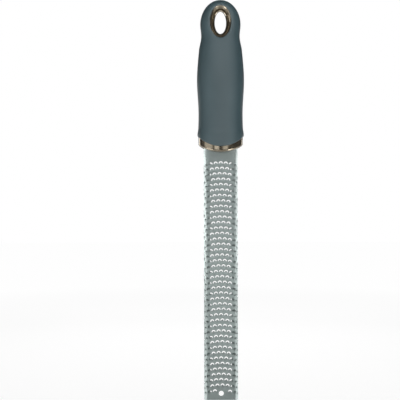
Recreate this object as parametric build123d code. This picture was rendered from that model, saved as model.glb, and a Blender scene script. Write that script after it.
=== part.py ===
from build123d import *
import math
import os

# Rasp zester: a long etched steel blade held in a moulded handle with a hanging eye.
# Frame: the zester hangs by its eye. The origin is the middle of the eye,
# +Z runs up to the top of the handle, -Y is the cutting side and +X is to its right.

# Overrun that a cutting body has past the face it cuts
cut_overrun = 5.0

# Handle: heights from the eye's middle, full width and full thickness there
handle_rise = 18.3
dome_bands = 6
head_level = -1.6
head_width = 32.3
head_thickness = 19.0
neck_level = -10.8
neck_width = 30.8
neck_thickness = 18.8
shoulder_level = -22.3
shoulder_width = 34.5
shoulder_thickness = 22.4
belly_level = -46.5
belly_width = 37.7
belly_thickness = 27.0
waist_level = -73.0
waist_width = 35.3
waist_thickness = 25.0
cuff_level = -84.5
cuff_width = 35.8
cuff_thickness = 25.4
flare_level = -89.6
flare_width = 37.1
flare_thickness = 26.4
body_bands = 13
section_sides = 36
section_fullness = 2.2

# Soft grip: its lower end is an arc in the front view
grip_end_level = -99.4
grip_end_radius = 24.4

# Hard collar below the grip, one piece with the spine and the eye's lining
collar_level = -103.9
collar_width = 35.4
collar_thickness = 24.8
collar_end_radius = 29.7

# Hanging eye: oval throat, with edges rounded out to an oval rim
eye_throat_width = 9.2
eye_throat_height = 18.0
eye_rim_width = 16.8
eye_rim_height = 26.0
eye_round_bands = 4
eye_sides = 24

# Spine that the soft grip is moulded round
spine_thickness = 11.0
spine_top_level = 9.0
spine_top_width = 20.0
spine_width = 24.0

# Blade channel: fold places are those of the middle of the sheet
sheet_thickness = 0.5
front_fold_width = 22.5
back_fold_width = 27.3
blade_depth = 5.4
lip_gap = 17.4
lip_relief = 0.3
bend_radius = 0.7
blade_end_level = -302.4
blade_seat_depth = 7.0

# Blade tip: end tab folded back, and a round hole above it
tab_fold_level = -301.2
tab_width = 21.6
tab_length = 4.6
tab_angle = 60.0
tab_relief = 0.15
tip_hole_level = -296.4
tip_hole_diameter = 4.1

# Tang: flat tongue of the same sheet, with holes that the spine's plastic fills
tang_width = 15.0
tang_length = 46.0
tang_end_radius = 5.0
tang_key_diameter = 6.0
tang_key_count = 3
tang_key_pitch = 13.0
tang_key_inset = 8.0

# Teeth: lifted tongues inside arched slots, set in arched rows
row_count = 43
row_pitch = 4.33
first_row_level = -110.9
row_arc_radius = 33.0
tooth_pitch = 4.0
row_shift_shares = (0.0, 0.25, -0.25, 0.5)
arch_width = 3.3
arch_height = 1.8
arch_sides = 4
tongue_width = 1.9
tongue_height = 1.1
tongue_sides = 3
tongue_lift = 0.42
fold_land = 0.35
tip_hole_land = 0.5


# Handle

def oval(width, height, sides, fullness=2):
    """Oval face with straight sides, its corners at even angles from the middle."""
    corners = []
    for side in range(sides):
        angle = 2 * math.pi * side / sides
        across = abs(math.cos(angle) * 2 / width) ** fullness
        up = abs(math.sin(angle) * 2 / height) ** fullness
        reach = (across + up) ** (-1 / fullness)
        corners.append((reach * math.cos(angle), reach * math.sin(angle)))
    return make_face(Polyline(*corners, close=True))


def handle_section(width, thickness, level):
    """Section of the handle at one height."""
    return Plane.XY.offset(level) * oval(width, thickness, section_sides, section_fullness)


def dome_sections():
    """Sections of the domed top, from its tip down to near the widest level."""
    sections = [Vertex(0, 0, handle_rise)]
    for band in range(dome_bands - 1, 0, -1):
        angle = math.pi / 2 * band / dome_bands
        share = math.cos(angle)
        level = head_level + (handle_rise - head_level) * math.sin(angle)
        sections.append(handle_section(head_width * share, head_thickness * share, level))
    return sections


def body_sections():
    """Sections from the widest level of the head to the flared lower end."""
    guide = Spline(
        (head_width, head_thickness, head_level),
        (neck_width, neck_thickness, neck_level),
        (shoulder_width, shoulder_thickness, shoulder_level),
        (belly_width, belly_thickness, belly_level),
        (waist_width, waist_thickness, waist_level),
        (cuff_width, cuff_thickness, cuff_level),
        (flare_width, flare_thickness, flare_level),
    )
    places = [guide @ (band / body_bands) for band in range(body_bands + 1)]
    sections = [handle_section(place.X, place.Y, place.Z) for place in places]
    return sections + [handle_section(flare_width, flare_thickness, collar_level)]


def handle_body():
    """Outside of the whole handle, run on past the grip's lower end."""
    return loft(dome_sections() + body_sections(), ruled=True)


def round_end(level, radius):
    """Everything above an arched lower end, as wide as the arc."""
    middle = level + radius
    top = handle_rise + cut_overrun
    outline = [
        Line((radius, middle), (radius, top)),
        Line((radius, top), (-radius, top)),
        Line((-radius, top), (-radius, middle)),
        ThreePointArc((-radius, middle), (0, level), (radius, middle)),
    ]
    return extrude(Plane.XZ * make_face(outline), amount=belly_thickness, both=True)


def eye_column(width, height):
    """Oval column through the handle at the eye."""
    return extrude(Plane.XZ * oval(width, height, eye_sides), amount=belly_thickness, both=True)


def eye_opening():
    """Rounded-out opening, narrowest at the middle of the handle."""
    half_depth = max(head_thickness, neck_thickness) / 2
    rim = oval(eye_rim_width, eye_rim_height, eye_sides)
    sections = [Plane.XZ.offset(-half_depth - cut_overrun) * rim]
    for band in range(-eye_round_bands, eye_round_bands + 1):
        angle = math.pi / 2 * band / eye_round_bands
        spread = 1 - math.cos(angle)
        width = eye_throat_width + (eye_rim_width - eye_throat_width) * spread
        height = eye_throat_height + (eye_rim_height - eye_throat_height) * spread
        depth = half_depth * math.sin(angle)
        sections.append(Plane.XZ.offset(depth) * oval(width, height, eye_sides))
    sections.append(Plane.XZ.offset(half_depth + cut_overrun) * rim)
    return loft(sections, ruled=True)


def spine():
    """Flat spine from inside the collar up to the eye."""
    outline = Polyline(
        (-spine_width / 2, grip_end_level),
        (-spine_width / 2, neck_level),
        (-spine_top_width / 2, spine_top_level),
        (spine_top_width / 2, spine_top_level),
        (spine_width / 2, neck_level),
        (spine_width / 2, grip_end_level),
        close=True,
    )
    return extrude(Plane.XZ * make_face(outline), amount=spine_thickness / 2, both=True)


def collar():
    """Hard collar between the grip's end and its own arched end."""
    section = handle_section(collar_width, collar_thickness, collar_level)
    bar = extrude(section, amount=flare_level - collar_level) & round_end(collar_level, collar_end_radius)
    return bar - round_end(grip_end_level, grip_end_radius)


def make_grip():
    """Soft grip, moulded over the spine and round the eye's lining."""
    grip = handle_body() & round_end(grip_end_level, grip_end_radius)
    return grip - spine() - eye_column(eye_rim_width, eye_rim_height)


def make_core():
    """Hard core: spine, collar and eye lining, moulded round the blade's tang."""
    lining = handle_body() & eye_column(eye_rim_width, eye_rim_height)
    core = collar() + (spine() + lining - eye_opening())
    return core - channel() - tang()


# Blade

def channel():
    """Folded sheet: face, two sloped flanks and two lips behind."""
    front = (sheet_thickness - blade_depth) / 2
    back = -front
    path = FilletPolyline(
        (-lip_gap / 2, back),
        (-back_fold_width / 2, back),
        (-front_fold_width / 2, front),
        (front_fold_width / 2, front),
        (back_fold_width / 2, back),
        (lip_gap / 2, back),
        radius=bend_radius,
    )
    section = Plane.XY.offset(blade_end_level) * trace(path, sheet_thickness)
    length = collar_level + blade_seat_depth - blade_end_level
    return extrude(section, amount=length, dir=(0, 0, 1)) - lip_trim()


def lip_trim():
    """Space behind the flanks, from just below the collar's arch upwards, that the lips leave free."""
    behind = blade_depth / 2 - sheet_thickness - bend_radius
    arch = round_end(collar_level - lip_relief, collar_end_radius)
    return Pos(0, behind + belly_thickness, 0) * arch


def tang():
    """Flat tongue above the channel, with key holes."""
    foot = collar_level + blade_seat_depth
    plate = Box(
        tang_width,
        sheet_thickness,
        tang_length,
        align=(Align.CENTER, Align.MIN, Align.MIN),
    )
    top_edges = plate.edges().filter_by(Axis.Y).group_by(Axis.Z)[-1]
    plate = fillet(top_edges, tang_end_radius)
    keys = [
        Pos(0, 0, tang_key_inset + key * tang_key_pitch)
        * Rot(90, 0, 0)
        * Cylinder(tang_key_diameter / 2, 2 * cut_overrun)
        for key in range(tang_key_count)
    ]
    return Pos(0, -blade_depth / 2, foot) * (plate - keys)


def tab_notch():
    """Space below the end fold, between the flanks, that the flat face leaves to the tab."""
    fold_start = tab_fold_level + bend_radius * math.tan(math.radians(tab_angle) / 2)
    height = fold_start - blade_end_level + cut_overrun
    depth = 2 * (sheet_thickness + bend_radius)
    notch = Box(tab_width + 2 * tab_relief, depth, height, align=(Align.CENTER, Align.CENTER, Align.MAX))
    return Pos(0, -blade_depth / 2, fold_start) * notch


def end_tab():
    """End of the face, folded back between the flanks."""
    front = (sheet_thickness - blade_depth) / 2
    slope = math.radians(tab_angle)
    path = FilletPolyline(
        (front, tab_fold_level + tab_length),
        (front, tab_fold_level),
        (front + tab_length * math.sin(slope), tab_fold_level - tab_length * math.cos(slope)),
        radius=bend_radius,
    )
    return extrude(Plane.YZ * trace(path, sheet_thickness), amount=tab_width / 2, both=True)


def half_oval(width, height, sides):
    """Corner places of a half oval with straight sides, base first."""
    angles = [math.pi * side / sides for side in range(sides + 1)]
    return [(width / 2 * math.cos(angle), height * math.sin(angle)) for angle in angles]


def tooth_places():
    """Place of each tooth's root on the face, rows bowed towards the handle."""
    widest = (front_fold_width - arch_width) / 2 - fold_land
    places = []
    for row in range(row_count):
        shift = row_shift_shares[row % len(row_shift_shares)] * tooth_pitch
        level = first_row_level - arch_height - row * row_pitch
        reach = math.ceil(widest / tooth_pitch)
        for column in range(-reach, reach + 1):
            across = column * tooth_pitch + shift
            if abs(across) > widest:
                continue
            turn = math.asin(across / row_arc_radius)
            drop = row_arc_radius * (1 - math.cos(turn))
            places.append((across, level - drop, math.degrees(turn)))
    return places


def clear_of_tip_hole(place):
    """Whether a tooth leaves sheet between itself and the tip hole."""
    across, level, turn = place
    gap = math.hypot(across, level + arch_height / 2 - tip_hole_level)
    return gap > (tip_hole_diameter + arch_width) / 2 + tip_hole_land


def slot():
    """Arched slot cutter through the face, short of the lips behind."""
    outline = Polyline(*half_oval(arch_width, arch_height, arch_sides), close=True)
    return extrude(Plane.XZ * make_face(outline), amount=blade_depth / 2, both=True)


def tongue():
    """Tooth: tongue of sheet rooted at the slot's base, its free end lifted."""
    corners = half_oval(tongue_width, tongue_height, tongue_sides)
    outline = [(across, -tongue_lift * up / tongue_height, up) for across, up in corners]
    return extrude(make_face(Polyline(*outline, close=True)), amount=sheet_thickness, dir=(0, 1, 0))


def make_blade():
    """Blade: channel, end tab and tang, with the rows of teeth and the tip hole."""
    sheet = channel() - tab_notch() + end_tab() + tang()
    tip_hole = Pos(0, 0, tip_hole_level) * Rot(90, 0, 0) * Cylinder(tip_hole_diameter / 2, 2 * blade_depth)
    places = [place for place in tooth_places() if clear_of_tip_hole(place)]
    seats = [Pos(across, -blade_depth / 2, level) * Rot(0, turn, 0) for across, level, turn in places]
    sheet = sheet - tip_hole - [seat * slot() for seat in seats]
    return sheet + [seat * tongue() for seat in seats]


def write_part():
    """Write each piece to its own file."""
    os.makedirs("parts", exist_ok=True)
    export_step(make_blade(), "parts/rasp_blade.step")
    export_step(make_core(), "parts/handle_core.step")
    export_step(make_grip(), "parts/grip_overmould.step")


write_part()
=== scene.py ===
import math

import bmesh
import bpy
import mathutils
import numpy as np
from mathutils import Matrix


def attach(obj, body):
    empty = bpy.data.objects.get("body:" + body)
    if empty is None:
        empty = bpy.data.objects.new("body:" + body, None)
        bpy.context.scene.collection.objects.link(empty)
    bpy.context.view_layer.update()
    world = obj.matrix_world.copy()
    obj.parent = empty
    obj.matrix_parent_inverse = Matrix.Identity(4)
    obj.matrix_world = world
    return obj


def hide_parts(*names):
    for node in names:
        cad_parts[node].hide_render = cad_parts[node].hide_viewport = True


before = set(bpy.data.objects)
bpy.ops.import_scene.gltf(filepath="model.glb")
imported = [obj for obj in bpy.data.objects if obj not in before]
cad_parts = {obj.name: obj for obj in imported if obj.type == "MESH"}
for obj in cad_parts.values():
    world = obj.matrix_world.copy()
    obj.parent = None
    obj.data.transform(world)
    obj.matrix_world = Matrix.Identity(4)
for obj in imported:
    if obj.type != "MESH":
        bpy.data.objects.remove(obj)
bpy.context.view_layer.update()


# Etched blade.
# One sheet of half-millimetre stainless steel. The slots are etched through while it is flat,
# the teeth are pressed up, and then the sheet is folded to a channel with an end tab.

sheet_thickness = 0.0005
front_fold_width = 0.0225
back_fold_width = 0.0273
blade_depth = 0.0054
lip_gap = 0.0174
bend_radius = 0.00045
seat_level = -0.0969
blade_end_level = -0.3024
tang_width = 0.015
tang_top_level = -0.0509
tang_end_radius = 0.005
tang_key_radius = 0.003
tang_key_levels = (-0.0889, -0.0759, -0.0629)
tab_fold_level = -0.3012
tab_width = 0.0216
tab_relief = 0.00015
tab_length = 0.0046
tab_corner = 0.001
tab_turn = math.radians(60)
tip_hole_level = -0.2964
tip_hole_radius = 0.00205
lip_arch_level = -0.1042
lip_arch_radius = 0.0297

flank_run = (back_fold_width - front_fold_width) / 2
flank_turn = math.atan2(blade_depth - sheet_thickness, flank_run)
flank_length = math.hypot(blade_depth - sheet_thickness, flank_run)
front_tangent = bend_radius * math.tan(flank_turn / 2)
back_tangent = bend_radius * math.tan((math.pi - flank_turn) / 2)
front_bend_start = front_fold_width / 2 - front_tangent
front_bend_end = front_bend_start + bend_radius * flank_turn
back_bend_start = front_bend_end + flank_length - front_tangent - back_tangent
back_bend_end = back_bend_start + bend_radius * (math.pi - flank_turn)
half_sheet = back_bend_end + (back_fold_width - lip_gap) / 2 - back_tangent
tab_tangent = bend_radius * math.tan(tab_turn / 2)
tab_bend_level = tab_fold_level + tab_tangent
tab_bend_length = bend_radius * tab_turn
tab_end_level = tab_bend_level - tab_bend_length - tab_length + tab_tangent


def walk(distance, start, turn):
    """Sum of the steps of a path that turns as it goes: how far it gets along and aside."""
    step = np.gradient(distance)
    along = np.cumsum(np.cos(turn) * step)
    aside = np.cumsum(np.sin(turn) * step)
    return along - along[0], start + aside - aside[0]


def sheet_turn(across):
    """Angle of the sheet from the flat face, at a distance across it."""
    front = np.clip((across - front_bend_start) / (front_bend_end - front_bend_start), 0, 1)
    back = np.clip((across - back_bend_start) / (back_bend_end - back_bend_start), 0, 1)
    return front * flank_turn + back * (math.pi - flank_turn)


face_level = (sheet_thickness - blade_depth) / 2
sheet_steps = np.linspace(0, half_sheet, 8001)
fold_x, fold_y = walk(sheet_steps, face_level, sheet_turn(sheet_steps))


def arch_level(across, level, radius):
    """Level of an arched end at a place across it."""
    return level + radius - np.sqrt(radius ** 2 - across ** 2)


def ring(centre, radius, count):
    """Corners of a round hole in the flat sheet."""
    turns = [2 * math.pi * step / count for step in range(count)]
    return [(centre[0] + radius * math.cos(t), centre[1] + radius * math.sin(t)) for t in turns]


def loops_mesh(name, loops):
    """Closed outlines in the flat sheet's plane, as a mesh of edges."""
    corners = []
    edges = []
    for loop in loops:
        first = len(corners)
        corners += [(across, level, 0) for across, level in loop]
        edges += [(first + i, first + (i + 1) % len(loop)) for i in range(len(loop))]
    mesh = bpy.data.meshes.new(name)
    mesh.from_pydata(corners, edges, [])
    made = bpy.data.objects.new(name, mesh)
    bpy.context.scene.collection.objects.link(made)
    return made


# The blank's outline down its right side: tang, lip (a hair below the collar's arch), end and tab
right_edge = []
for t in np.linspace(0, math.pi / 2, 7):
    right_edge.append((tang_width / 2 - tang_end_radius * (1 - math.sin(t)),
                       tang_top_level - tang_end_radius * (1 - math.cos(t))))
right_edge += [(tang_width / 2, seat_level), (back_bend_start, seat_level)]
for across in np.linspace(back_bend_start, half_sheet, 9):
    folded_place = np.interp(across, sheet_steps, fold_x)
    right_edge.append((across, arch_level(folded_place, lip_arch_level, lip_arch_radius)))
right_edge += [(half_sheet, blade_end_level), (tab_width / 2 + tab_relief, blade_end_level)]
right_edge += [(tab_width / 2 + tab_relief, tab_bend_level), (tab_width / 2, tab_bend_level)]
right_edge += [(tab_width / 2, tab_end_level + tab_corner),
               (tab_width / 2 - tab_corner, tab_end_level)]
left_edge = [(-across, level) for across, level in reversed(right_edge)]
holes = [ring((0, tip_hole_level), tip_hole_radius, 32)]
holes += [ring((0, level), tang_key_radius, 20) for level in tang_key_levels]
blank = loops_mesh("blank", [right_edge + left_edge] + holes)

arch_width = 0.0033
arch_height = 0.0018
tongue_width = 0.0017
tongue_height = 0.00095


def half_oval(width, height, turns):
    """Corners of the upper half of an oval."""
    return [(width / 2 * math.cos(t), height * math.sin(t)) for t in turns]


arch = half_oval(arch_width, arch_height, np.linspace(0, math.pi, 11))
tongue = half_oval(tongue_width, tongue_height, np.linspace(math.pi, 0, 9))
slot = loops_mesh("slot", [arch + tongue])


def put(tree, kind, links=None, **settings):
    """New node in a tree, with its settings, and what each of its inputs takes."""
    node = tree.nodes.new(kind)
    for name, value in settings.items():
        setattr(node, name, value)
    for key, source in (links or {}).items():
        if isinstance(source, bpy.types.NodeSocket):
            tree.links.new(source, node.inputs[key])
        else:
            node.inputs[key].default_value = source
    return node


steel = bpy.data.materials.new("etched_satin_steel")
rows = bpy.data.node_groups.new("tooth_rows", "GeometryNodeTree")
rows.interface.new_socket("Blank", in_out="INPUT", socket_type="NodeSocketGeometry")
row_sizes = {
    "Slot": ("NodeSocketObject", slot),
    "Material": ("NodeSocketMaterial", steel),
    "Row count": ("NodeSocketInt", 43),
    "First row level": ("NodeSocketFloat", -0.1127),
    "Row pitch": ("NodeSocketFloat", 0.00433),
    "Row arc radius": ("NodeSocketFloat", 0.033),
    "Tooth pitch": ("NodeSocketFloat", 0.004),
    "Outermost tooth": ("NodeSocketFloat", 0.0162),
    "Tongue width": ("NodeSocketFloat", tongue_width),
    "Tongue height": ("NodeSocketFloat", tongue_height),
    "Tongue lift": ("NodeSocketFloat", 0.00042),
    "Tongue edge": ("NodeSocketFloat", 0.00018),
    "Sheet thickness": ("NodeSocketFloat", sheet_thickness),
    "Tip hole level": ("NodeSocketFloat", tip_hole_level),
    "Tip land": ("NodeSocketFloat", 0.0043),
}
row_sockets = {}
for label, (kind, value) in row_sizes.items():
    row_sockets[label] = rows.interface.new_socket(label, in_out="INPUT", socket_type=kind)
rows.interface.new_socket("Etched sheet", in_out="OUTPUT", socket_type="NodeSocketGeometry")
given = put(rows, "NodeGroupInput").outputs


def sum_in(tree, operation, first, second=0.0):
    """Output of one sum on two values."""
    return put(tree, "ShaderNodeMath", {0: first, 1: second}, operation=operation).outputs[0]


def sum_of(operation, first, second=0.0):
    """Output of one sum in the tree of the tooth rows."""
    return sum_in(rows, operation, first, second)


# Place of every tooth: columns side by side, each row shifted by part of a pitch, bowed to an arc
columns = 9.0
row_shifts = (0.0, 0.25, -0.25, 0.5)
index = put(rows, "GeometryNodeInputIndex").outputs[0]
row = sum_of("FLOOR", sum_of("DIVIDE", index, columns))
column = sum_of("SUBTRACT", sum_of("MODULO", index, columns), (columns - 1) / 2)
phase = sum_of("MODULO", row, float(len(row_shifts)))
shift = put(rows, "GeometryNodeIndexSwitch", {0: phase}, data_type="FLOAT")
for number, share in enumerate(row_shifts):
    if number >= len(shift.index_switch_items):
        shift.index_switch_items.new()
    shift.inputs[number + 1].default_value = share
across = sum_of("MULTIPLY", sum_of("ADD", column, shift.outputs[0]), given["Tooth pitch"])
turn = sum_of("ARCSINE", sum_of("DIVIDE", across, given["Row arc radius"]))
bow = sum_of("SUBTRACT", 1.0, sum_of("COSINE", turn))
bow = sum_of("MULTIPLY", bow, given["Row arc radius"])
drop = sum_of("MULTIPLY", row, given["Row pitch"])
level = sum_of("SUBTRACT", sum_of("SUBTRACT", given["First row level"], drop), bow)
place = put(rows, "ShaderNodeCombineXYZ", {0: across, 1: level}).outputs[0]
count = sum_of("MULTIPLY", given["Row count"], columns)
points = put(rows, "GeometryNodePoints", {"Count": count, "Position": place}).outputs[0]
points = put(rows, "GeometryNodeStoreNamedAttribute",
             {"Geometry": points, "Name": "turn", "Value": turn},
             data_type="FLOAT", domain="POINT").outputs[0]

# Teeth past the flanks, and those that would touch the tip hole, are left out
where = put(rows, "GeometryNodeInputPosition").outputs[0]
aside = put(rows, "ShaderNodeSeparateXYZ", {0: where}).outputs[0]
too_far = sum_of("GREATER_THAN", sum_of("ABSOLUTE", aside), given["Outermost tooth"])
tip = put(rows, "ShaderNodeCombineXYZ", {1: given["Tip hole level"]}).outputs[0]
reach = put(rows, "ShaderNodeVectorMath", {0: where, 1: tip}, operation="DISTANCE")
too_near = sum_of("LESS_THAN", reach.outputs["Value"], given["Tip land"])
left_out = sum_of("MAXIMUM", too_far, too_near)
points = put(rows, "GeometryNodeDeleteGeometry", {"Geometry": points, "Selection": left_out},
             domain="POINT").outputs[0]

# One slot outline at each place, cut out of the blank
stored = put(rows, "GeometryNodeInputNamedAttribute", {"Name": "turn"},
             data_type="FLOAT").outputs[0]
back_turn = sum_of("MULTIPLY", stored, -1.0)
spin = put(rows, "ShaderNodeCombineXYZ", {2: back_turn}).outputs[0]
slot_shape = put(rows, "GeometryNodeObjectInfo", {"Object": given["Slot"]}).outputs["Geometry"]
slots = put(rows, "GeometryNodeInstanceOnPoints",
            {"Points": points, "Instance": slot_shape, "Rotation": spin}).outputs[0]
slots = put(rows, "GeometryNodeRealizeInstances", {"Geometry": slots}).outputs[0]
outlines = put(rows, "GeometryNodeJoinGeometry")
rows.links.new(given["Blank"], outlines.inputs[0])
rows.links.new(slots, outlines.inputs[0])
curves = put(rows, "GeometryNodeMeshToCurve", {"Mesh": outlines.outputs[0]}).outputs[0]
etched = put(rows, "GeometryNodeFillCurve", {"Curve": curves}, mode="TRIANGLES").outputs[0]

# Each tongue is pressed up towards its free edge, which the etch has left thin
tongue_reach = 1.05
half_tongue = sum_of("MULTIPLY", given["Tongue height"], 0.5)
half_way = put(rows, "ShaderNodeCombineXYZ", {1: half_tongue}).outputs[0]
half_way = put(rows, "ShaderNodeVectorRotate", {"Vector": half_way, "Angle": back_turn},
               rotation_type="Z_AXIS").outputs[0]
middles = put(rows, "GeometryNodeSetPosition", {"Geometry": points, "Offset": half_way}).outputs[0]
nearest = put(rows, "GeometryNodeSampleNearest", {"Geometry": middles}).outputs[0]
middle = put(rows, "GeometryNodeSampleIndex",
             {"Geometry": middles, "Value": where, "Index": nearest},
             data_type="FLOAT_VECTOR").outputs[0]
tooth_turn = put(rows, "GeometryNodeSampleIndex",
                 {"Geometry": middles, "Value": stored, "Index": nearest},
                 data_type="FLOAT").outputs[0]
away = put(rows, "ShaderNodeVectorMath", {0: where, 1: middle}, operation="SUBTRACT").outputs[0]
local = put(rows, "ShaderNodeVectorRotate", {"Vector": away, "Angle": tooth_turn},
            rotation_type="Z_AXIS").outputs[0]
local = put(rows, "ShaderNodeSeparateXYZ", {0: local}).outputs
up = sum_of("ADD", local[1], half_tongue)
side_share = sum_of("DIVIDE", sum_of("MULTIPLY", local[0], 2.0), given["Tongue width"])
up_share = sum_of("MAXIMUM", sum_of("DIVIDE", up, given["Tongue height"]), 0.0)
size = sum_of("ADD", sum_of("MULTIPLY", side_share, side_share),
              sum_of("MULTIPLY", up_share, up_share))
rise = sum_of("MULTIPLY", sum_of("LESS_THAN", size, tongue_reach), up_share)
lift = sum_of("MULTIPLY", rise, given["Tongue lift"])
thinned = sum_of("SUBTRACT", given["Sheet thickness"], given["Tongue edge"])
thickness = sum_of("SUBTRACT", given["Sheet thickness"], sum_of("MULTIPLY", rise, thinned))
etched = put(rows, "GeometryNodeStoreNamedAttribute",
             {"Geometry": etched, "Name": "thickness", "Value": thickness},
             data_type="FLOAT", domain="POINT").outputs[0]
raised = put(rows, "ShaderNodeCombineXYZ", {2: lift}).outputs[0]
etched = put(rows, "GeometryNodeSetPosition", {"Geometry": etched, "Offset": raised}).outputs[0]
etched = put(rows, "GeometryNodeRealizeInstances", {"Geometry": etched}).outputs[0]
etched = put(rows, "GeometryNodeSetMaterial",
             {"Geometry": etched, "Material": given["Material"]}).outputs[0]
rows.links.new(etched, put(rows, "NodeGroupOutput").inputs[0])

pattern = blank.modifiers.new("tooth_rows", "NODES")
pattern.node_group = rows
for label, (kind, value) in row_sizes.items():
    pattern[row_sockets[label].identifier] = value
etched_blank = blank.evaluated_get(bpy.context.evaluated_depsgraph_get())
flat = bpy.data.meshes.new_from_object(etched_blank)
blank.modifiers.remove(pattern)

# Cuts of the mesh along the folds, so that the bends are round
folded = bmesh.new()
folded.from_mesh(flat)
fold_lines = list(np.linspace(front_bend_start, front_bend_end, 5))
fold_lines += list(np.linspace(back_bend_start, back_bend_end, 7))
cuts = [((side * place, 0, 0), (1, 0, 0)) for place in fold_lines for side in (-1, 1)]
cuts += [((0, tab_bend_level - share * tab_bend_length, 0), (0, 1, 0))
         for share in np.linspace(0, 1, 5)]
for point, normal in cuts:
    parts = folded.verts[:] + folded.edges[:] + folded.faces[:]
    bmesh.ops.bisect_plane(folded, geom=parts, dist=1e-7, plane_co=point, plane_no=normal)
bmesh.ops.triangulate(folded, faces=folded.faces[:])
bmesh.ops.recalc_face_normals(folded, faces=folded.faces[:])
if sum(face.normal.z for face in folded.faces) < 0:
    bmesh.ops.reverse_faces(folded, faces=folded.faces[:])
folded.to_mesh(flat)
folded.free()

# Folding: each point of the flat sheet goes to its place on the channel or on the end tab
spots = np.array([v.co for v in flat.vertices])
sides = np.sign(spots[:, 0])
spans = np.abs(spots[:, 0])
thicknesses = np.zeros(len(spots), np.float32)
flat.attributes["thickness"].data.foreach_get("value", thicknesses)
turns = sheet_turn(spans)
middle = np.stack([sides * np.interp(spans, sheet_steps, fold_x),
                   np.interp(spans, sheet_steps, fold_y), spots[:, 1]], 1)
outward = np.stack([sides * np.sin(turns), -np.cos(turns), 0 * turns], 1)
tab_steps = np.linspace(0, 0.006, 3001)
tab_z, tab_y = walk(tab_steps, face_level, np.clip(tab_steps / tab_bend_length, 0, 1) * tab_turn)
on_tab = (spots[:, 1] < tab_bend_level) & (spans < tab_width / 2 + tab_relief / 2)
past = tab_bend_level - spots[on_tab, 1]
tab_turns = np.clip(past / tab_bend_length, 0, 1) * tab_turn
middle[on_tab, 1] = np.interp(past, tab_steps, tab_y)
middle[on_tab, 2] = tab_bend_level - np.interp(past, tab_steps, tab_z)
outward[on_tab] = np.stack([0 * tab_turns, -np.cos(tab_turns), -np.sin(tab_turns)], 1)
front = middle + outward * (sheet_thickness / 2 + spots[:, 2])[:, None]
back = front - outward * thicknesses[:, None]

# Both skins of the sheet, and the walls of its edges and slots between them
blade_sharp_turn = math.radians(28)
total = len(spots)
triangles = [tuple(face.vertices) for face in flat.polygons]
skins = triangles + [tuple(total + i for i in reversed(face)) for face in triangles]
directed = {(face[i], face[(i + 1) % 3]) for face in triangles for i in range(3)}
walls = [(b, a, total + a, total + b) for a, b in directed if (b, a) not in directed]
blade_mesh = bpy.data.meshes.new("etched_blade")
blade_mesh.from_pydata(np.concatenate([front, back]).tolist(), [], skins + sorted(walls))
blade_mesh.materials.append(steel)
cut = blade_mesh.attributes.new("etched", "FLOAT", "FACE")
cut.data.foreach_set("value", [0.0] * len(skins) + [1.0] * len(walls))
blade_mesh.polygons.foreach_set("use_smooth", [True] * len(blade_mesh.polygons))
blade_mesh.set_sharp_from_angle(angle=blade_sharp_turn)
blade = bpy.data.objects.new("etched_blade", blade_mesh)
bpy.context.scene.collection.objects.link(blade)
for scrap in (blank, slot):
    bpy.data.objects.remove(scrap)
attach(blade, "root")
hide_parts("rasp_blade")


def ranged(tree, value, low, high, at_low, at_high):
    """A value drawn from one range to another, and held at its ends."""
    return put(tree, "ShaderNodeMapRange",
               {0: value, 1: low, 2: high, 3: at_low, 4: at_high}).outputs[0]


def blend(tree, share, first, second):
    """A number between two others."""
    return put(tree, "ShaderNodeMix", {0: share, 2: first, 3: second}).outputs[0]


def tint(tree, share, first, second):
    """A colour between two others."""
    return put(tree, "ShaderNodeMix", {0: share, 6: first, 7: second},
               data_type="RGBA").outputs[2]


def noise(tree, place, scale, detail, roughness=0.5):
    """Cloudy pattern at a place."""
    return put(tree, "ShaderNodeTexNoise", {"Vector": place, "Scale": scale, "Detail": detail,
                                            "Roughness": roughness}).outputs[0]


# Grain, patches and fine scratches, which every finish of this tool has at its own scale
scratch_slant = 0.35
scratch_stretch = (1.0, 1.0, 0.09)
scratch_scale = 240.0
scratch_half_width = 0.008
surface_grain = bpy.data.node_groups.new("surface_grain", "ShaderNodeTree")
for label, kind in (("Place", "Vector"), ("Stretch", "Vector"), ("Grain size", "Float"),
                    ("Patch size", "Float")):
    surface_grain.interface.new_socket(label, in_out="INPUT", socket_type="NodeSocket" + kind)
for label in ("Grain", "Patches", "Scratches"):
    surface_grain.interface.new_socket(label, in_out="OUTPUT", socket_type="NodeSocketFloat")
given = put(surface_grain, "NodeGroupInput").outputs
found = put(surface_grain, "NodeGroupOutput").inputs
drawn = put(surface_grain, "ShaderNodeVectorMath", {0: given["Place"], 1: given["Stretch"]},
            operation="MULTIPLY").outputs[0]
fine = sum_in(surface_grain, "DIVIDE", 1.0, given["Grain size"])
broad = sum_in(surface_grain, "DIVIDE", 1.0, given["Patch size"])
speckle = noise(surface_grain, drawn, fine, 3.0, 0.6)
cloud = noise(surface_grain, given["Place"], broad, 2.0)
slanted = put(surface_grain, "ShaderNodeVectorRotate",
              {"Vector": given["Place"], "Angle": scratch_slant},
              rotation_type="Y_AXIS").outputs[0]
long_way = put(surface_grain, "ShaderNodeVectorMath", {0: slanted, 1: scratch_stretch},
               operation="MULTIPLY").outputs[0]
contour = noise(surface_grain, long_way, scratch_scale, 1.0)
off_line = sum_in(surface_grain, "ABSOLUTE", sum_in(surface_grain, "SUBTRACT", contour, 0.5))
line = ranged(surface_grain, off_line, 0.0, scratch_half_width, 1.0, 0.0)
here = ranged(surface_grain, cloud, 0.52, 0.62, 0.0, 1.0)
scratch = sum_in(surface_grain, "MULTIPLY", line, here)
for label, source in (("Grain", speckle), ("Patches", cloud), ("Scratches", scratch)):
    surface_grain.links.new(source, found[label])


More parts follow.
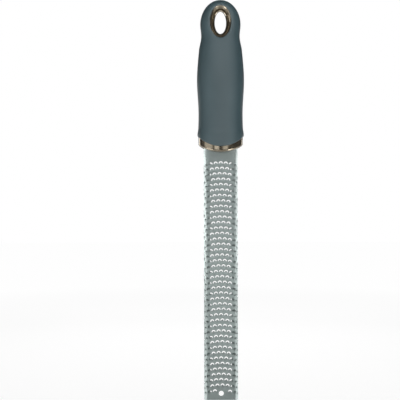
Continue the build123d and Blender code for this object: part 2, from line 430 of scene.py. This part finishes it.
def start_look(material, plain_values):
    """A material's tree, its shader with the values that are plain all over, and its place."""
    material.use_nodes = True
    tree = material.node_tree
    look = tree.nodes["Principled BSDF"]
    for label, value in plain_values.items():
        look.inputs[label].default_value = value
    return tree, look, put(tree, "ShaderNodeTexCoord").outputs["Object"]


def grained(tree, place, stretch, grain_size, patch_size):
    """What the surface grain gives at a finish's own scale."""
    return put(tree, "ShaderNodeGroup", {"Place": place, "Stretch": stretch,
                                         "Grain size": grain_size, "Patch size": patch_size},
               node_tree=surface_grain).outputs


def finish_look(tree, look, tone, dullness, relief, strength, depth):
    """Colour, roughness and fine relief of a material, taken to its shader."""
    bump = put(tree, "ShaderNodeBump",
               {"Height": relief, "Strength": strength, "Distance": depth}).outputs[0]
    for label, source in (("Base Color", tone), ("Roughness", dullness), ("Normal", bump)):
        tree.links.new(source, look.inputs[label])


# Satin of the rolled sheet along its length, duller and darker where the etch has cut it
rolled_dark = (0.325, 0.378, 0.37, 1)
rolled_light = (0.38, 0.435, 0.425, 1)
etched_grey = (0.30, 0.315, 0.31, 1)
steel_tree, steel_look, steel_place = start_look(steel, {"Metallic": 1.0})
rolled = grained(steel_tree, steel_place, (1.0, 1.0, 0.04), 0.0002, 0.018)
steel_cut = put(steel_tree, "ShaderNodeAttribute", attribute_name="etched").outputs["Fac"]
steel_tone = tint(steel_tree, rolled["Patches"], rolled_dark, rolled_light)
steel_tone = tint(steel_tree, steel_cut, steel_tone, etched_grey)
steel_dull = ranged(steel_tree, rolled["Grain"], 0.3, 0.7, 0.27, 0.37)
steel_dull = blend(steel_tree, steel_cut, steel_dull, 0.55)
steel_relief = sum_in(steel_tree, "SUBTRACT", rolled["Grain"], rolled["Scratches"])
finish_look(steel_tree, steel_look, steel_tone, steel_dull, steel_relief, 0.2, 0.00002)


# Hard core.
# One smoke-brown moulding with a bronze pearl in it, made round the blade's tang. Its spine is
# hidden in the grip, and only the collar and the lining of the hanging eye show.

handle_rise = 0.0183
section_fullness = 2.2
station_levels = np.array((-0.104, -0.0896, -0.0845, -0.0730, -0.0465, -0.0223, -0.0108, -0.0016))
station_widths = np.array((0.0371, 0.0371, 0.0358, 0.0353, 0.0377, 0.0345, 0.0308, 0.0323))
station_depths = np.array((0.0264, 0.0264, 0.0254, 0.0250, 0.0270, 0.0224, 0.0188, 0.0190))
collar_width = 0.0354
collar_depth = 0.0248
collar_arch_level = -0.1039
collar_arch_radius = 0.0297
collar_edge_radius = 0.0007
collar_wear_reach = 0.0015
collar_sides = 120
rim_wear_share = 0.2
eye_throat = (0.0092, 0.0180)
eye_rim = (0.0168, 0.0260)
eye_rim_slope = math.radians(69)
eye_lip_width = 0.0030
eye_lip_depth = 0.0011
eye_sides = 72
tuck = 0.00012
spine_half_width = 0.012
spine_half_depth = 0.0055
spine_ends = (-0.098, -0.0105)
spine_corner = 0.003


def eased(sizes, level):
    """Smooth run through the handle's sizes that nowhere swells past them."""
    step = np.diff(station_levels)
    slope = np.diff(sizes) / step
    tangent = np.zeros(len(sizes))
    same_way = slope[:-1] * slope[1:] > 0
    tangent[1:-1][same_way] = 2 / (1 / slope[:-1][same_way] + 1 / slope[1:][same_way])
    at = np.clip(np.searchsorted(station_levels, level) - 1, 0, len(step) - 1)
    share = (level - station_levels[at]) / step[at]
    start = sizes[at] + step[at] * tangent[at] * share * (1 - share) ** 2
    rise = np.diff(sizes)[at] * share * share * (3 - 2 * share)
    return start + rise - step[at] * tangent[at + 1] * share * share * (1 - share)


def handle_size(level):
    """Half width and half depth of the handle at a level, the domed top included."""
    dome_share = (level - station_levels[-1]) / (handle_rise - station_levels[-1])
    dome = np.sqrt(1 - np.clip(dome_share, 0, 1) ** 2)
    below = np.minimum(level, station_levels[-1])
    return eased(station_widths, below) / 2 * dome, eased(station_depths, below) / 2 * dome


def fuller(part):
    """Cosine or sine of a turn, drawn out so that its oval is as full as the handle's sections."""
    return np.sign(part) * np.abs(part) ** (2 / section_fullness)


def rim_share(across, level, past=0.0):
    """Place in the front view as a share of the eye's rim, or of an oval some way past it."""
    return np.hypot(across / (eye_rim[0] / 2 + past), level / (eye_rim[1] / 2 + past))


def past_rim(across, level):
    """How far outside the eye's rim a place in the front view is."""
    return np.hypot(across, level) * (1 - 1 / np.maximum(rim_share(across, level), 0.01))


def lip_dip(across, level):
    """How far the grip's soft lip rolls in at a place near the eye."""
    share = np.clip(1 - past_rim(across, level) / eye_lip_width, 0, 1)
    return eye_lip_depth * (1 - np.sqrt(1 - share ** 2))


def front_of(across, level):
    """How far the handle's front stands out at a place in the front view."""
    half_width, half_depth = handle_size(level)
    share = np.clip(np.abs(across) / half_width, 0, 1)
    bulge = half_depth * (1 - share ** section_fullness) ** (1 / section_fullness)
    return bulge - lip_dip(across, level)


def edge_heights(radius, count):
    """Heights of the rings that make an edge round."""
    return [radius * (1 - math.cos(t)) for t in np.linspace(0, math.pi / 2, count)]


def edge_inset(radius, height):
    """How far a round edge draws in at a height above its end."""
    return radius - np.sqrt(radius ** 2 - np.clip(radius - height, 0, radius) ** 2)


def next_numbers(corners, count):
    """Numbers of the corners that come next."""
    return list(range(len(corners), len(corners) + count))


def sheet_of(rings):
    """Faces of a closed band of rings, each ring a row of corner numbers."""
    count = len(rings[0])
    return [(low[i], low[(i + 1) % count], high[(i + 1) % count], high[i])
            for low, high in zip(rings, rings[1:]) for i in range(count)]


def made_piece(name, corners, edge_shares, faces, material, sharp):
    """Closed piece, smooth but for its sharp edges, that knows how near its rubbed edges are."""
    work = bmesh.new()
    edge = work.verts.layers.float.new("edge")
    spots = [work.verts.new(corner) for corner in corners]
    for spot, share in zip(spots, edge_shares):
        spot[edge] = share
    for face in faces:
        work.faces.new([spots[i] for i in dict.fromkeys(face)])
    bmesh.ops.remove_doubles(work, verts=work.verts[:], dist=2e-6)
    bmesh.ops.dissolve_degenerate(work, edges=work.edges[:], dist=1e-6)
    bmesh.ops.recalc_face_normals(work, faces=work.faces[:])
    mesh = bpy.data.meshes.new(name)
    work.to_mesh(mesh)
    work.free()
    mesh.materials.append(material)
    mesh.polygons.foreach_set("use_smooth", [True] * len(mesh.polygons))
    mesh.set_sharp_from_angle(angle=math.radians(sharp))
    made = bpy.data.objects.new(name, mesh)
    bpy.context.scene.collection.objects.link(made)
    return made


# Lining: rings from the front rim through the throat to the back rim, under the grip's lip
around = np.linspace(0, 2 * math.pi, eye_sides, endpoint=False)


def eye_oval(size, past=0.0):
    """Places in the front view round an oval of the eye, or some way past it."""
    return (size[0] / 2 + past) * np.cos(around), (size[1] / 2 + past) * np.sin(around)


throat_x, throat_z = eye_oval(eye_throat)
rim_x, rim_z = eye_oval(eye_rim, tuck)
rim_y = front_of(*eye_oval(eye_rim)) + tuck
core_corners = []
core_edges = []
lining_rows = []
for slope in np.linspace(-eye_rim_slope, eye_rim_slope, 25):
    spread = (1 - math.cos(slope)) / (1 - math.cos(eye_rim_slope))
    ring_x = throat_x * (1 - spread) + rim_x * spread
    ring_y = rim_y * math.sin(slope) / math.sin(eye_rim_slope)
    ring_z = throat_z * (1 - spread) + rim_z * spread
    lining_rows.append(next_numbers(core_corners, eye_sides))
    core_corners += np.stack([ring_x, ring_y, ring_z], 1).tolist()
    core_edges += [max(1 - (1 - spread) / rim_wear_share, 0.0)] * eye_sides
core_faces = sheet_of(lining_rows + [lining_rows[0]])

# Collar: an oval bar with an arched, edge-rounded lower end, closed at the top inside the grip
collar_turn = np.linspace(0, 2 * math.pi, collar_sides, endpoint=False)
collar_rows = []
heights = edge_heights(collar_edge_radius, 6) + [0.002, 0.0045, 0.0078]
for height in heights:
    inset = edge_inset(collar_edge_radius, height)
    ring_x = (collar_width / 2 - inset) * fuller(np.cos(collar_turn))
    ring_y = (collar_depth / 2 - inset) * fuller(np.sin(collar_turn))
    ring_z = arch_level(ring_x, collar_arch_level, collar_arch_radius) + height
    collar_rows.append(next_numbers(core_corners, collar_sides))
    core_corners += np.stack([ring_x, ring_y, ring_z], 1).tolist()
    core_edges += [max(1 - height / collar_wear_reach, 0.0)] * collar_sides
core_faces += sheet_of(collar_rows)
for row in (collar_rows[0], collar_rows[-1]):
    far_side = row[:1] + row[:0:-1]
    core_faces += [(row[i], row[i + 1], far_side[i + 1], far_side[i])
                   for i in range(collar_sides // 2)]

# Spine: the flat bar from the collar to the lining that the grip is moulded on
spine_low, spine_high = spine_ends
spine_outline = [(-spine_half_width, spine_low), (spine_half_width, spine_low),
                 (spine_half_width, spine_high - spine_corner),
                 (spine_half_width - spine_corner, spine_high),
                 (spine_corner - spine_half_width, spine_high),
                 (-spine_half_width, spine_high - spine_corner)]
first = len(core_corners)
core_corners += [(x, side * spine_half_depth, z) for side in (-1, 1) for x, z in spine_outline]
core_edges += [0.0] * 2 * len(spine_outline)
core_faces += [tuple(range(first, first + 6)), tuple(range(first + 11, first + 5, -1))]
core_faces += [(first + i, first + (i + 1) % 6, first + 6 + (i + 1) % 6, first + 6 + i)
               for i in range(6)]

core_sharp_degrees = 40
smoke = bpy.data.materials.new("smoke_brown_plastic")
core = made_piece("collar_and_eye_lining", core_corners, core_edges, core_faces, smoke,
                  core_sharp_degrees)
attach(core, "root")
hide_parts("handle_core")

# Rubbing of the edges that hands and cloths reach, broken up as real wear is
edge_rub = bpy.data.node_groups.new("edge_rub", "ShaderNodeTree")
for label, kind in (("Place", "Vector"), ("Edge", "Float"), ("Break size", "Float")):
    edge_rub.interface.new_socket(label, in_out="INPUT", socket_type="NodeSocket" + kind)
edge_rub.interface.new_socket("Rub", in_out="OUTPUT", socket_type="NodeSocketFloat")
given = put(edge_rub, "NodeGroupInput").outputs
breaks = sum_in(edge_rub, "DIVIDE", 1.0, given["Break size"])
broken = ranged(edge_rub, noise(edge_rub, given["Place"], breaks, 3.0), 0.35, 0.65, 0.0, 1.0)
rubbed = sum_in(edge_rub, "MULTIPLY", given["Edge"], broken)
edge_rub.links.new(rubbed, put(edge_rub, "NodeGroupOutput").inputs["Rub"])


def rub_of(tree, place, break_size):
    """How much a place is rubbed, in patches of a size."""
    edge = put(tree, "ShaderNodeAttribute", attribute_name="edge").outputs["Fac"]
    return put(tree, "ShaderNodeGroup", {"Place": place, "Edge": edge, "Break size": break_size},
               node_tree=edge_rub).outputs[0]


# Bronze pearl that the moulding has drawn into faint clouds, under a clear gloss
smoke_dark = (0.236, 0.2, 0.142, 1)
smoke_light = (0.328, 0.281, 0.207, 1)
flake_bronze = (0.53, 0.47, 0.36, 1)
smoke_tree, smoke_look, smoke_place = start_look(smoke, {
    "Metallic": 0.85, "Specular Tint": (0.4, 0.4, 0.4, 1), "Coat Weight": 0.5,
    "Coat Roughness": 0.05})
pearl = grained(smoke_tree, smoke_place, (1.0, 1.0, 1.0), 0.00012, 0.008)
smoke_rub = rub_of(smoke_tree, smoke_place, 0.003)
smoke_tone = tint(smoke_tree, pearl["Patches"], smoke_dark, smoke_light)
flakes = ranged(smoke_tree, pearl["Grain"], 0.55, 0.75, 0.0, 0.35)
smoke_tone = tint(smoke_tree, flakes, smoke_tone, flake_bronze)
smoke_dull = ranged(smoke_tree, pearl["Patches"], 0.3, 0.7, 0.12, 0.18)
smoke_dull = blend(smoke_tree, smoke_rub, smoke_dull, 0.4)
smoke_relief = sum_in(smoke_tree, "SUBTRACT", pearl["Patches"], pearl["Scratches"])
finish_look(smoke_tree, smoke_look, smoke_tone, smoke_dull, smoke_relief, 0.1, 0.00002)


# Soft grip.
# One slate moulding of matt soft-touch rubber over the spine, thicker than the collar by a small
# step. Its edge rolls softly into the eye, and its lower end is an arc in the front view.

grip_arch_level = -0.0994
grip_arch_radius = 0.0244
grip_edge_radius = 0.0005
grip_wear_reach = 0.0014
parting_line_half = 0.00014
quarter_girth = 0.026
grip_rows = 96
grip_columns = 44
first_row_rise = 0.003
net_gap = 0.0006
eye_net_share = 1.04
dome_rise = handle_rise - station_levels[-1]


def on_sheet(across, level):
    """Place on the unrolled front half of the handle that a place in the front view has."""
    half_width, _ = handle_size(level)
    share = np.clip(np.abs(across) / half_width, 0, 1) ** (section_fullness / 2)
    climb = np.clip((level - station_levels[-1]) / dome_rise, 0, 1)
    unrolled = np.minimum(level, station_levels[-1]) + dome_rise * np.arcsin(climb)
    return np.stack([np.sign(across) * np.arcsin(share) * 2 / math.pi * quarter_girth, unrolled],
                    -1)


def off_sheet(spot):
    """Place in the front view that a place on the unrolled sheet has."""
    climb = np.clip((spot[:, 1] - station_levels[-1]) / dome_rise, 0, math.pi / 2)
    level = np.minimum(spot[:, 1], station_levels[-1]) + dome_rise * np.sin(climb)
    half_width, _ = handle_size(level)
    return half_width * fuller(np.sin(spot[:, 0] / quarter_girth * math.pi / 2)), level


# Rings round the eye, rows that follow the lower arc, and an even net over the rest
rings = [0, 0.00008, 0.0002, 0.0004, 0.0007, 0.0011, 0.0016, 0.0022, 0.0030, 0.0038]
sheet_spots = []
ring_numbers = []
for past in rings:
    ring_numbers.append(next_numbers(sheet_spots, eye_sides))
    sheet_spots += on_sheet(*eye_oval(eye_rim, past)).tolist()
columns_across = np.linspace(-1, 1, grip_columns + 1)
band_x = station_widths[0] / 2 * fuller(np.sin(columns_across * math.pi / 2))
band_arch = arch_level(band_x, grip_arch_level, grip_arch_radius)
bands = edge_heights(grip_edge_radius, 5) + [0.0010, 0.0017]
band_numbers = []
for height in bands:
    band_numbers.append(next_numbers(sheet_spots, grip_columns + 1))
    sheet_spots += [(share * quarter_girth, level + height)
                    for share, level in zip(columns_across, band_arch)]
sheet_top = station_levels[-1] + dome_rise * math.pi / 2
for sheet_level in np.linspace(grip_arch_level + first_row_rise, sheet_top, grip_rows):
    spots = np.stack([columns_across * quarter_girth, np.full(grip_columns + 1, sheet_level)], 1)
    across, level = off_sheet(spots)
    clear_of_eye = rim_share(across, level, rings[-1]) > eye_net_share
    clear_of_arch = sheet_level > band_arch + bands[-1] + net_gap
    sheet_spots += spots[clear_of_eye & clear_of_arch].tolist()
edges = [(low, high) for row in ring_numbers for low, high in zip(row, row[1:] + row[:1])]
edges += [(low, high) for row in band_numbers for low, high in zip(row, row[1:])]
spots, _, net, _, _, _ = mathutils.geometry.delaunay_2d_cdt(
    [mathutils.Vector(spot) for spot in sheet_spots], edges, [], 0, 1e-9)
spots = np.array([tuple(spot) for spot in spots])


def lower_edge(unrolled_place):
    """Level of the grip's lower end at a place on the unrolled sheet."""
    return np.interp(unrolled_place, columns_across * quarter_girth, band_arch)


# The net is kept between the eye and the lower arc, and rolled up to the grip's two halves
middles_of = np.array([spots[list(face)].mean(0) for face in net])
kept = (rim_share(*off_sheet(middles_of)) > 1) & (middles_of[:, 1] > lower_edge(middles_of[:, 0]))
net = [tuple(face) for face, keep in zip(net, kept) if keep]
across, level = off_sheet(spots)
half_width, half_depth = handle_size(level)
turn = spots[:, 0] / quarter_girth * math.pi / 2
stand = half_depth * fuller(np.abs(np.cos(turn))) - lip_dip(across, level)
above = level - lower_edge(spots[:, 0])
inset = edge_inset(grip_edge_radius, above)
steepness = 2 - 2 / section_fullness
normal_x = np.sign(turn) * np.abs(np.sin(turn)) ** steepness / np.maximum(half_width, 1e-6)
normal_y = np.abs(np.cos(turn)) ** steepness / np.maximum(half_depth, 1e-6)
normal_size = np.hypot(normal_x, normal_y)
across = across - inset * normal_x / normal_size
stand = stand - inset * normal_y / normal_size
low_ones = above < bands[-1] + 0.0001
arched = arch_level(np.where(low_ones, across, 0), grip_arch_level, grip_arch_radius) + above
level = np.where(low_ones, arched, level)
total = len(spots)
grip_corners = np.concatenate([np.stack([across, -stand, level], 1),
                               np.stack([across, stand, level], 1)]).tolist()
grip_faces = net + [tuple(total + i for i in reversed(face)) for face in net]
grip_faces += sheet_of([ring_numbers[0], [total + i for i in ring_numbers[0]]])
low_row = band_numbers[0]
grip_faces += [(low_row[i], low_row[i + 1], total + low_row[i + 1], total + low_row[i])
               for i in range(grip_columns)]
edge_distance = np.minimum(above, np.abs(past_rim(across, level)))
grip_edges = np.clip(1 - edge_distance / grip_wear_reach, 0, 1).tolist()

grip_sharp_degrees = 50
slate = bpy.data.materials.new("soft_touch_slate")
grip = made_piece("soft_grip", grip_corners, grip_edges + grip_edges, grip_faces, slate,
                  grip_sharp_degrees)
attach(grip, "root")
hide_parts("grip_overmould")

# Matt rubber with a fine speckle, a little polished at its edges, and the mould's parting line
slate_dark = (0.077, 0.140, 0.160, 1)
slate_light = (0.092, 0.158, 0.180, 1)
slate_polished = (0.19, 0.235, 0.255, 1)
slate_tree, slate_look, slate_place = start_look(slate, {"Specular IOR Level": 0.6})
speckled = grained(slate_tree, slate_place, (1.0, 1.0, 1.0), 0.00028, 0.014)
slate_rub = rub_of(slate_tree, slate_place, 0.002)
slate_tone = tint(slate_tree, speckled["Patches"], slate_dark, slate_light)
slate_share = sum_in(slate_tree, "MULTIPLY", slate_rub, 0.45)
slate_tone = tint(slate_tree, slate_share, slate_tone, slate_polished)
slate_dull = ranged(slate_tree, speckled["Grain"], 0.3, 0.7, 0.46, 0.58)
slate_dull = blend(slate_tree, slate_rub, slate_dull, 0.38)
slate_side = put(slate_tree, "ShaderNodeSeparateXYZ", {0: slate_place}).outputs[1]
slate_side = sum_in(slate_tree, "ABSOLUTE", slate_side)
parting = ranged(slate_tree, slate_side, 0.0, parting_line_half, 1.5, 0.0)
slate_relief = sum_in(slate_tree, "ADD", speckled["Grain"], parting)
finish_look(slate_tree, slate_look, slate_tone, slate_dull, slate_relief, 0.35, 0.00005)


# Studio.
# A pale floor well below the hanging tool and a white sweep behind it. One soft lamp fills the
# front and one the back, and the boxes are what the gloss of steel, plastic and rubber mirrors.

camera_data = bpy.data.cameras.new("camera")
camera_data.lens = 82.25
camera = bpy.data.objects.new("camera", camera_data)
camera.location = (-0.01665, -0.7327, -0.1419)
camera.rotation_euler = (math.pi / 2, math.radians(0.13), 0)
bpy.context.scene.collection.objects.link(camera)
bpy.context.scene.camera = camera


def seen_ways(tree):
    """Whether a ray comes from the camera or through something clear, and whether from gloss."""
    rays = put(tree, "ShaderNodeLightPath").outputs
    seen = sum_in(tree, "MAXIMUM", rays["Is Camera Ray"], rays["Is Transmission Ray"])
    return seen, rays["Is Glossy Ray"]


# The world is white to the eye, dim to gloss from the front and less so from the sides and back
white_level = 1.0
front_level = 0.01
side_level = 0.08
matt_level = 0.04
world = bpy.data.worlds.new("surround")
world.use_nodes = True
bpy.context.scene.world = world
sky = world.node_tree
sky.nodes.clear()
sky_seen, sky_gloss = seen_ways(sky)
sky_way = put(sky, "ShaderNodeTexCoord").outputs["Generated"]
sky_way = put(sky, "ShaderNodeSeparateXYZ", {0: sky_way}).outputs[1]
sweep = ranged(sky, sky_way, -0.8, -0.2, front_level, side_level)
sky_level = blend(sky, sky_seen, blend(sky, sky_gloss, matt_level, sweep), white_level)
glow = put(sky, "ShaderNodeBackground", {"Color": (1, 1, 1, 1), "Strength": sky_level})
put(sky, "ShaderNodeOutputWorld", {0: glow.outputs[0]})

# The floor is matt and keeps the tool's shadow. Its glow makes it near white to the eye. To gloss
# it glows as painted light beside and behind the tool, brighter near it, and it is dimmer in front
# of it as painted shade of the tool and camera.
floor_level = -0.36
floor_half = 4
floor_colour = (0.35, 0.35, 0.35, 1)
floor_mesh = bpy.data.meshes.new("floor")
floor_mesh.from_pydata([(x * floor_half, y * floor_half, floor_level)
                        for x, y in ((-1, -1), (1, -1), (1, 1), (-1, 1))], [], [(0, 1, 2, 3)])
floor = bpy.data.objects.new("floor", floor_mesh)
bpy.context.scene.collection.objects.link(floor)
pale = bpy.data.materials.new("pale_floor")
pale.use_nodes = True
pale_tree = pale.node_tree
pale_tree.nodes.clear()
floor_seen, floor_gloss = seen_ways(pale_tree)
floor_shown = sum_in(pale_tree, "MAXIMUM", floor_seen, floor_gloss)
floor_place = put(pale_tree, "ShaderNodeTexCoord").outputs["Object"]
floor_way = put(pale_tree, "ShaderNodeSeparateXYZ", {0: floor_place}).outputs
floor_side = ranged(pale_tree, sum_in(pale_tree, "ABSOLUTE", floor_way[0]), 0.22, 0.42, 0.0, 1.0)
floor_back = ranged(pale_tree, floor_way[1], -0.05, 0.12, 0.0, 1.0)
floor_lit = sum_in(pale_tree, "MAXIMUM", floor_side, floor_back)
# Painted shade: to gloss the floor's glow is dimmer in front of the tool, standing in for the
# shade of the tool and camera
floor_front_painted_shade = ranged(pale_tree, floor_way[1], -0.55, -0.15, 0.8, 0.32)
floor_reach = put(pale_tree, "ShaderNodeVectorMath", {0: floor_place}, operation="LENGTH")
floor_reach = floor_reach.outputs["Value"]
# Painted light: beside and behind the tool the floor's glow to gloss is brighter than white near
# it and fades farther off
floor_far = ranged(pale_tree, floor_reach, 0.45, 1.1, 1.6, 0.6)
floor_painted_gloss_glow = blend(pale_tree, floor_lit, floor_front_painted_shade, floor_far)
floor_pale = ranged(pale_tree, floor_reach, 1.0, 1.6, 0.81, 0.975)
floor_strength = blend(pale_tree, floor_seen, floor_painted_gloss_glow, floor_pale)
floor_glow = put(pale_tree, "ShaderNodeEmission", {"Strength": floor_strength}).outputs[0]
floor_matt = put(pale_tree, "ShaderNodeBsdfDiffuse", {"Color": floor_colour}).outputs[0]
floor_white = put(pale_tree, "ShaderNodeAddShader", {0: floor_glow, 1: floor_matt}).outputs[0]
floor_look = put(pale_tree, "ShaderNodeMixShader", {0: floor_shown, 1: floor_matt, 2: floor_white})
put(pale_tree, "ShaderNodeOutputMaterial", {0: floor_look.outputs[0]})
floor.data.materials.append(pale)

# Each lamp: degrees round the tool and up from its front, distance, width and height, and watts
lamps = {
    "front_fill": (7, 10, 1.1, (0.7, 0.7), 5.0),
    "back_fill": (180, 35, 1.1, (0.7, 0.7), 6.0),
    "high_box": (9, 40, 1.1, (1.6, 0.8), 7.5),
    "left_box": (-47, 6, 1.5, (1.21, 0.42), 1.7),
    "high_left_box": (-83, 12, 1.5, (0.4, 0.3), 0.8),
    "middle_box": (-10.5, 4, 1.5, (0.395, 0.21), 0.49),
    "right_box": (14, 4, 1.5, (0.43, 0.21), 0.40),
    "low_left_box": (-42, -11, 0.7, (0.35, 0.14), 0.65),
    "low_right_box": (34, -11, 0.7, (0.25, 0.14), 0.75),
    "left_strip_box": (-134, -4.5, 1.0, (0.28, 0.28), 1.28),
    "right_strip_box": (137, -5, 1.0, (0.28, 0.28), 1.0),
}
lamp_aim = mathutils.Vector((0, 0, -0.08))
for name, (side, height, distance, size, power) in lamps.items():
    lamp_data = bpy.data.lights.new(name, "AREA")
    lamp_data.shape = "RECTANGLE"
    lamp_data.size, lamp_data.size_y = size
    lamp_data.energy = power
    lamp = bpy.data.objects.new(name, lamp_data)
    side, height = math.radians(side), math.radians(height)
    away = mathutils.Vector((math.sin(side) * math.cos(height),
                             -math.cos(side) * math.cos(height), math.sin(height)))
    lamp.location = lamp_aim + away * distance
    lamp.rotation_euler = away.to_track_quat("Z", "Y").to_euler()
    lamp.visible_diffuse = not name.endswith("box")
    lamp.visible_glossy = not name.endswith("fill")
    bpy.context.scene.collection.objects.link(lamp)

bpy.context.scene.view_settings.view_transform = "Standard"
